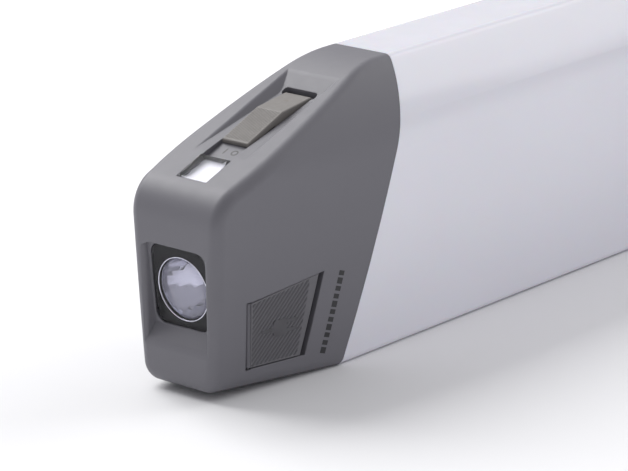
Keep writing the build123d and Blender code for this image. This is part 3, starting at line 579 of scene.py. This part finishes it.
def add_flap():
    """Flap with a field of slanted ribs, a plain finger strip, its knuckle and a plug icon."""
    outer = surface_height(BAY, "port_flap")
    long, tall = FLAP_LONG, FLAP_TALL
    columns = [v / long for v in spaced(0, long, FLAP_MESH, FLAP_EDGE_LINES)]
    rows = [v / tall for v in spaced(0, tall, FLAP_MESH, FLAP_EDGE_LINES)]
    nearest, furthest = FLAP_SURFACE_INSET, 1 - FLAP_SURFACE_INSET
    faces, rim = block_faces(len(columns), len(rows))
    vertices = []
    for a in columns:
        for b in rows:
            p = flap_point(a, b)
            inside = flap_point(*(min(furthest, max(nearest, share)) for share in (a, b)))
            border = min(a * long, (1 - a) * long, b * tall, (1 - b) * tall)
            strip = FLAP_STRIP[0] + (FLAP_STRIP[1] - FLAP_STRIP[0]) * b
            ribbed = smooth_step(min(a * long, b * tall, (1 - b) * tall), 0.3, 0.5)
            ribbed *= smooth_step((1 - a) * long, strip, strip + 0.3)
            height = outer(*inside) - edge_drop(border, FLAP_ROUND)
            vertices.append((p.x, p.y, height - rib((p.x - p.y) / math.sqrt(2), *FLAP_RIB) * ribbed))
    base = len(vertices)
    vertices += [(vertices[k][0], vertices[k][1], FLAP_BACK) for k in rim]
    faces.append(tuple(base + k for k in reversed(range(len(rim)))))
    add_piece("flap", BAY, vertices, faces, "flap", "head_grey", [FLAP_GREY], replaced=["port_flap"])
    add_flap_knuckle()
    plug = [stroke(((-5.3, 0), (-2.6, 0)), 0.75), rounded_box(-2.6, 0.9, -1.7, 1.7, 0.7),
            stroke(((0.9, -0.95), (3.1, -0.95)), 0.7), stroke(((0.9, 0.95), (3.1, 0.95)), 0.7)]
    add_marks("flap_plug_mark", BAY, plug, outer, PLUG_TILE, "flap", "head_grey", [FLAP_MARK])


# ---------------------------------------------------------------- torch
LENS_RADIUS = (lens_high.x - lens_low.x) / 2 / MM
LENS_HALF = 0.525        # half of the lens's thickness
LENS_BAND = 0.12         # height of the straight band below its dome
LENS_STEPS, DOME_STEP = 96, 6            # segments round the lens, and degrees between the dome's rings
RIM_HEIGHT, RIM_THICK, RIM_BITE = 0.4, 0.13, 0.02    # the bright ring: centre, radius, bite into the lens
CUP_FOOT = 1.7           # radius of the cup's hole round the LED
CUP_INSET, CUP_WALL = 0.25, 0.2          # its mouth in from the lens's edge, and its thickness
CUP_RINGS, CUP_FACETS = 10, 36


def add_torch_optics():
    """Domed lens over a deep polished cup with the LED at its foot."""
    foot = -LENS_HALF
    turns = [math.radians(a) for a in range(0, 90, DOME_STEP)]
    dome = [(LENS_RADIUS * math.sin(turn), foot + 2 * LENS_HALF * math.cos(turn)) for turn in turns]
    lens = [(0, foot), (LENS_RADIUS, foot), (LENS_RADIUS, foot + LENS_BAND)] + dome[::-1]
    turned("lens", OPTIC, lens, LENS_STEPS, "case", "clear_window", [CLEAR], replaced=["torch_lens"],
           sharp=50)
    low, high = box_in(OPTIC, "torch_reflector")
    brim, floor = high.z, low.z
    mouth = LENS_RADIUS - CUP_INSET
    cup = [(CUP_FOOT + (mouth - CUP_FOOT) * k / CUP_RINGS, floor + (brim - floor) * (k / CUP_RINGS) ** 2)
           for k in range(CUP_RINGS + 1)]
    outside = [(r + CUP_WALL, h) for r, h in reversed(cup)]
    turned("reflector", OPTIC, cup + outside, CUP_FACETS, "case", "mirror_cup", [MIRROR],
           replaced=["torch_reflector"], sharp=4)


def add_lens_rim():
    """Thin bright ring round the lens."""
    turns = [math.radians(a) for a in range(0, 360, 30)]
    section = [(LENS_RADIUS - RIM_BITE + RIM_THICK * math.cos(turn), RIM_HEIGHT + RIM_THICK * math.sin(turn))
               for turn in turns]
    turned("lens_rim", OPTIC, section, LENS_STEPS, "case", "mirror_cup", [RIM])


# ---------------------------------------------------------------- ports behind the flap
PORT_WALL = 0.35
PORT_FLOOR = 1.5                         # depth of the port's floor, from its back
LIP_OUTSIDE, LIP_INSIDE = (0.1, 0.12), (0.08, 0.15)  # rolled lip: how far in, and how far back
PORT_TIP = 0.8                           # the tongue's tip, behind the lip
TONGUE_ROUND, CONTACT_ROUND = 0.15, 0.03
CONTACT_START, CONTACT_END, CONTACT_HALF = 2.5, 0.3, 0.06    # from the back, short of the tip, half thickness
USB_A_TONGUE = (0.8, 3.1, 4.9)           # inset from the sides, then low and high from the port's foot
MICRO_TONGUE = (1.6, 0.95, 1.5)
USB_A_PINS = ((-3.5, -1.0, 1.0, 3.5), 1.0)     # contact places and width
MICRO_PINS = ((-1.3, -0.65, 0.0, 0.65, 1.3), 0.35)


def add_port(name, node_name, tongue, pins, corner):
    """Metal port with a rolled lip, a dark tongue and gilt contacts on it."""
    low, high = box_in(BAY, node_name)

    def outline(inset):
        return rounded_box(low.x + inset, high.x - inset, low.y + inset, high.y - inset, corner)

    back, front = low.z, high.z
    rings = [(outline(0), back), (outline(0), front - LIP_OUTSIDE[1]), (outline(LIP_OUTSIDE[0]), front),
             (outline(PORT_WALL - LIP_INSIDE[0]), front), (outline(PORT_WALL), front - LIP_INSIDE[1]),
             (outline(PORT_WALL), back + PORT_FLOOR)]
    lofted(f"{name}_shell", BAY, rings, "case", "steel", [STEEL], replaced=[node_name])
    inset, foot, top = tongue
    tip = front - PORT_TIP
    soft_bar(f"{name}_tongue", BAY, (low.x + inset, low.y + foot, back + PORT_FLOOR),
             (high.x - inset, low.y + top, tip), TONGUE_ROUND, "case", "black_plastic", [BLACK])
    middle = (low.x + high.x) / 2
    places, width = pins
    for k, place in enumerate(places):
        u = middle + place
        first = (u - width / 2, low.y + foot - CONTACT_HALF, back + CONTACT_START)
        second = (u + width / 2, low.y + foot + CONTACT_HALF, tip - CONTACT_END)
        soft_bar(f"{name}_contact_{k}", BAY, first, second, CONTACT_ROUND, "case", "steel", [GOLD])


# ---------------------------------------------------------------- marks on the head
SIDE_BARS, SIDE_BAR_TALL = 11, 1.4
SIDE_START, SIDE_END = Vector((10.2, -8.2)), Vector((15.6, 8.2))
SIDE_FILL, SIDE_WIDE_FILL = 0.62, 0.8    # share of the pitch that a bar takes, and that every third one takes
SIDE_TILE = (0.015, 0.1)                 # proud of the surface, and depth
SWITCH_MARK_PLACE = 17.0                 # up the slope
SWITCH_BAR_X, SWITCH_BAR_HALF, SWITCH_BAR_WIDTH = -0.9, 0.7, 0.34
SWITCH_RING_X, SWITCH_RING_RADII, SWITCH_RING_STEPS = 1.5, (0.5, 0.84), 16


def add_side_marks():
    """A column of plain bars beside the slot, parallel to the seam."""
    heading = (SIDE_END - SIDE_START).normalized()
    normal = Vector((heading.y, -heading.x))
    pitch = (SIDE_END - SIDE_START).length / SIDE_BARS
    outlines = []
    for k in range(SIDE_BARS):
        centre = SIDE_START + heading * pitch * (k + 0.5)
        width = pitch * (SIDE_FILL if k % 3 else SIDE_WIDE_FILL)
        corners = [centre + heading * h * width / 2 + normal * n * SIDE_BAR_TALL / 2
                   for h, n in ((-1, -1), (-1, 1), (1, 1), (1, -1))]
        outlines.append([tuple(c) for c in corners])
    add_marks("side_marks", BAY, outlines, surface_height(BAY, "head_shell"), SIDE_TILE, "case", "head_grey",
              [MARK_DARK])


def add_switch_mark():
    """A bar and a ring, for on and off, on the floor in front of the knob."""
    low, high = SWITCH_MARK_PLACE - SWITCH_BAR_HALF, SWITCH_MARK_PLACE + SWITCH_BAR_HALF
    bar = stroke(((SWITCH_BAR_X, low), (SWITCH_BAR_X, high)), SWITCH_BAR_WIDTH)

    def on_ring(radius, k):
        turn = math.radians(360 * k / SWITCH_RING_STEPS)
        return SWITCH_RING_X + radius * math.cos(turn), SWITCH_MARK_PLACE + radius * math.sin(turn)

    inner, outer = SWITCH_RING_RADII
    ring = [[on_ring(inner, k), on_ring(outer, k), on_ring(outer, k + 1), on_ring(inner, k + 1)]
            for k in range(SWITCH_RING_STEPS)]
    add_marks("switch_mark", SLOPE, [bar] + ring, surface_height(SLOPE, "switch_guide"), THIN_TILE, "case",
              "head_grey", [MARK_DARK])


# ---------------------------------------------------------------- studio
CAMERA_AZIMUTH, CAMERA_ELEVATION, CAMERA_ROLL = 41.66, 17.21, 1.0
CAMERA_AIM = Vector((0, 30, 29))        # millimetres from the middle of the head's foot
CAMERA_DISTANCE = 669.75
CAMERA_SHIFT = (-7.06, -3.76)           # how far the aim sits right of and below the middle of the view, mm
CAMERA_LENS = 194.9
SOFTBOX_DISTANCE, SOFTBOX_SIZE = 3.0, 2.0    # metres
SOFTBOX_AIM = (40, 30)                  # millimetres behind the head's foot, and above it
FLOOR_HALF = 6.0                        # metres


def add_camera():
    """Camera at the reference viewing angle."""
    a, p, r = (math.radians(v) for v in (CAMERA_AZIMUTH, CAMERA_ELEVATION, CAMERA_ROLL))
    forward = Vector((-math.sin(a) * math.cos(p), math.cos(a) * math.cos(p), -math.sin(p)))
    right = Vector((math.cos(a), math.sin(a), 0))
    down = forward.cross(right)
    rolled_right = right * math.cos(r) + down * math.sin(r)
    rolled_down = down * math.cos(r) - right * math.sin(r)
    aim = Vector((0, cad_low.y, 0)) + CAMERA_AIM * MM
    offset = rolled_right * CAMERA_SHIFT[0] + rolled_down * CAMERA_SHIFT[1] + forward * CAMERA_DISTANCE
    camera = bpy.data.objects.new("camera", bpy.data.cameras.new("camera"))
    turn = Matrix((rolled_right, -rolled_down, -forward)).transposed().to_4x4()
    camera.matrix_world = Matrix.Translation(aim - offset * MM) @ turn
    camera.data.lens = CAMERA_LENS
    bpy.context.scene.collection.objects.link(camera)
    bpy.context.scene.camera = camera


def add_softbox(name, towards, power):
    """A square softbox that faces the head from a direction."""
    light = bpy.data.lights.new(name, "AREA")
    light.size, light.energy = SOFTBOX_SIZE, power
    lamp = bpy.data.objects.new(name, light)
    direction = Vector(towards).normalized()
    behind, above = SOFTBOX_AIM
    target = Vector((0, cad_low.y + behind * MM, above * MM))
    lamp.location = target + direction * SOFTBOX_DISTANCE
    lamp.rotation_euler = (-direction).to_track_quat("-Z", "Y").to_euler()
    bpy.context.scene.collection.objects.link(lamp)


def add_floor():
    """A large sheet of white paper under the object."""
    material = finish_material("floor_paper", (0.9, 0.9, 0.91), 0.9, 0.004, 6)
    mesh = bpy.data.meshes.new("floor")
    half = FLOOR_HALF
    corners = [(-half, -half, 0), (half, -half, 0), (half, half, 0), (-half, half, 0)]
    mesh.from_pydata(corners, [], [(0, 1, 2, 3)])
    mesh.materials.append(material)
    floor = bpy.data.objects.new("floor", mesh)
    bpy.context.scene.collection.objects.link(floor)


def add_studio():
    """A pale world and three softboxes."""
    world = bpy.data.worlds.new("studio")
    bpy.context.scene.world = world
    world.use_nodes = True
    background = world.node_tree.nodes["Background"]
    background.inputs["Color"].default_value = (0.97, 0.965, 1.0, 1)
    background.inputs["Strength"].default_value = 0.44
    add_softbox("key_softbox", (-0.7, 0.0, 0.7), 75.0)
    add_softbox("edge_softbox", (-0.62, 0.36, 0.72), 15.0)
    add_softbox("back_softbox", (0.3, 0.8, 0.5), 28.0)
    bpy.context.scene.view_settings.view_transform = "Standard"


add_camera()
add_floor()
add_studio()
paint_cad_nodes()
add_knob()
add_indicator()
add_flap()
add_torch_optics()
add_lens_rim()
add_port("usb_a", "usb_a_port", USB_A_TONGUE, USB_A_PINS, 0.4)
add_port("micro_usb", "micro_usb_port", MICRO_TONGUE, MICRO_PINS, 0.5)
add_side_marks()
add_switch_mark()
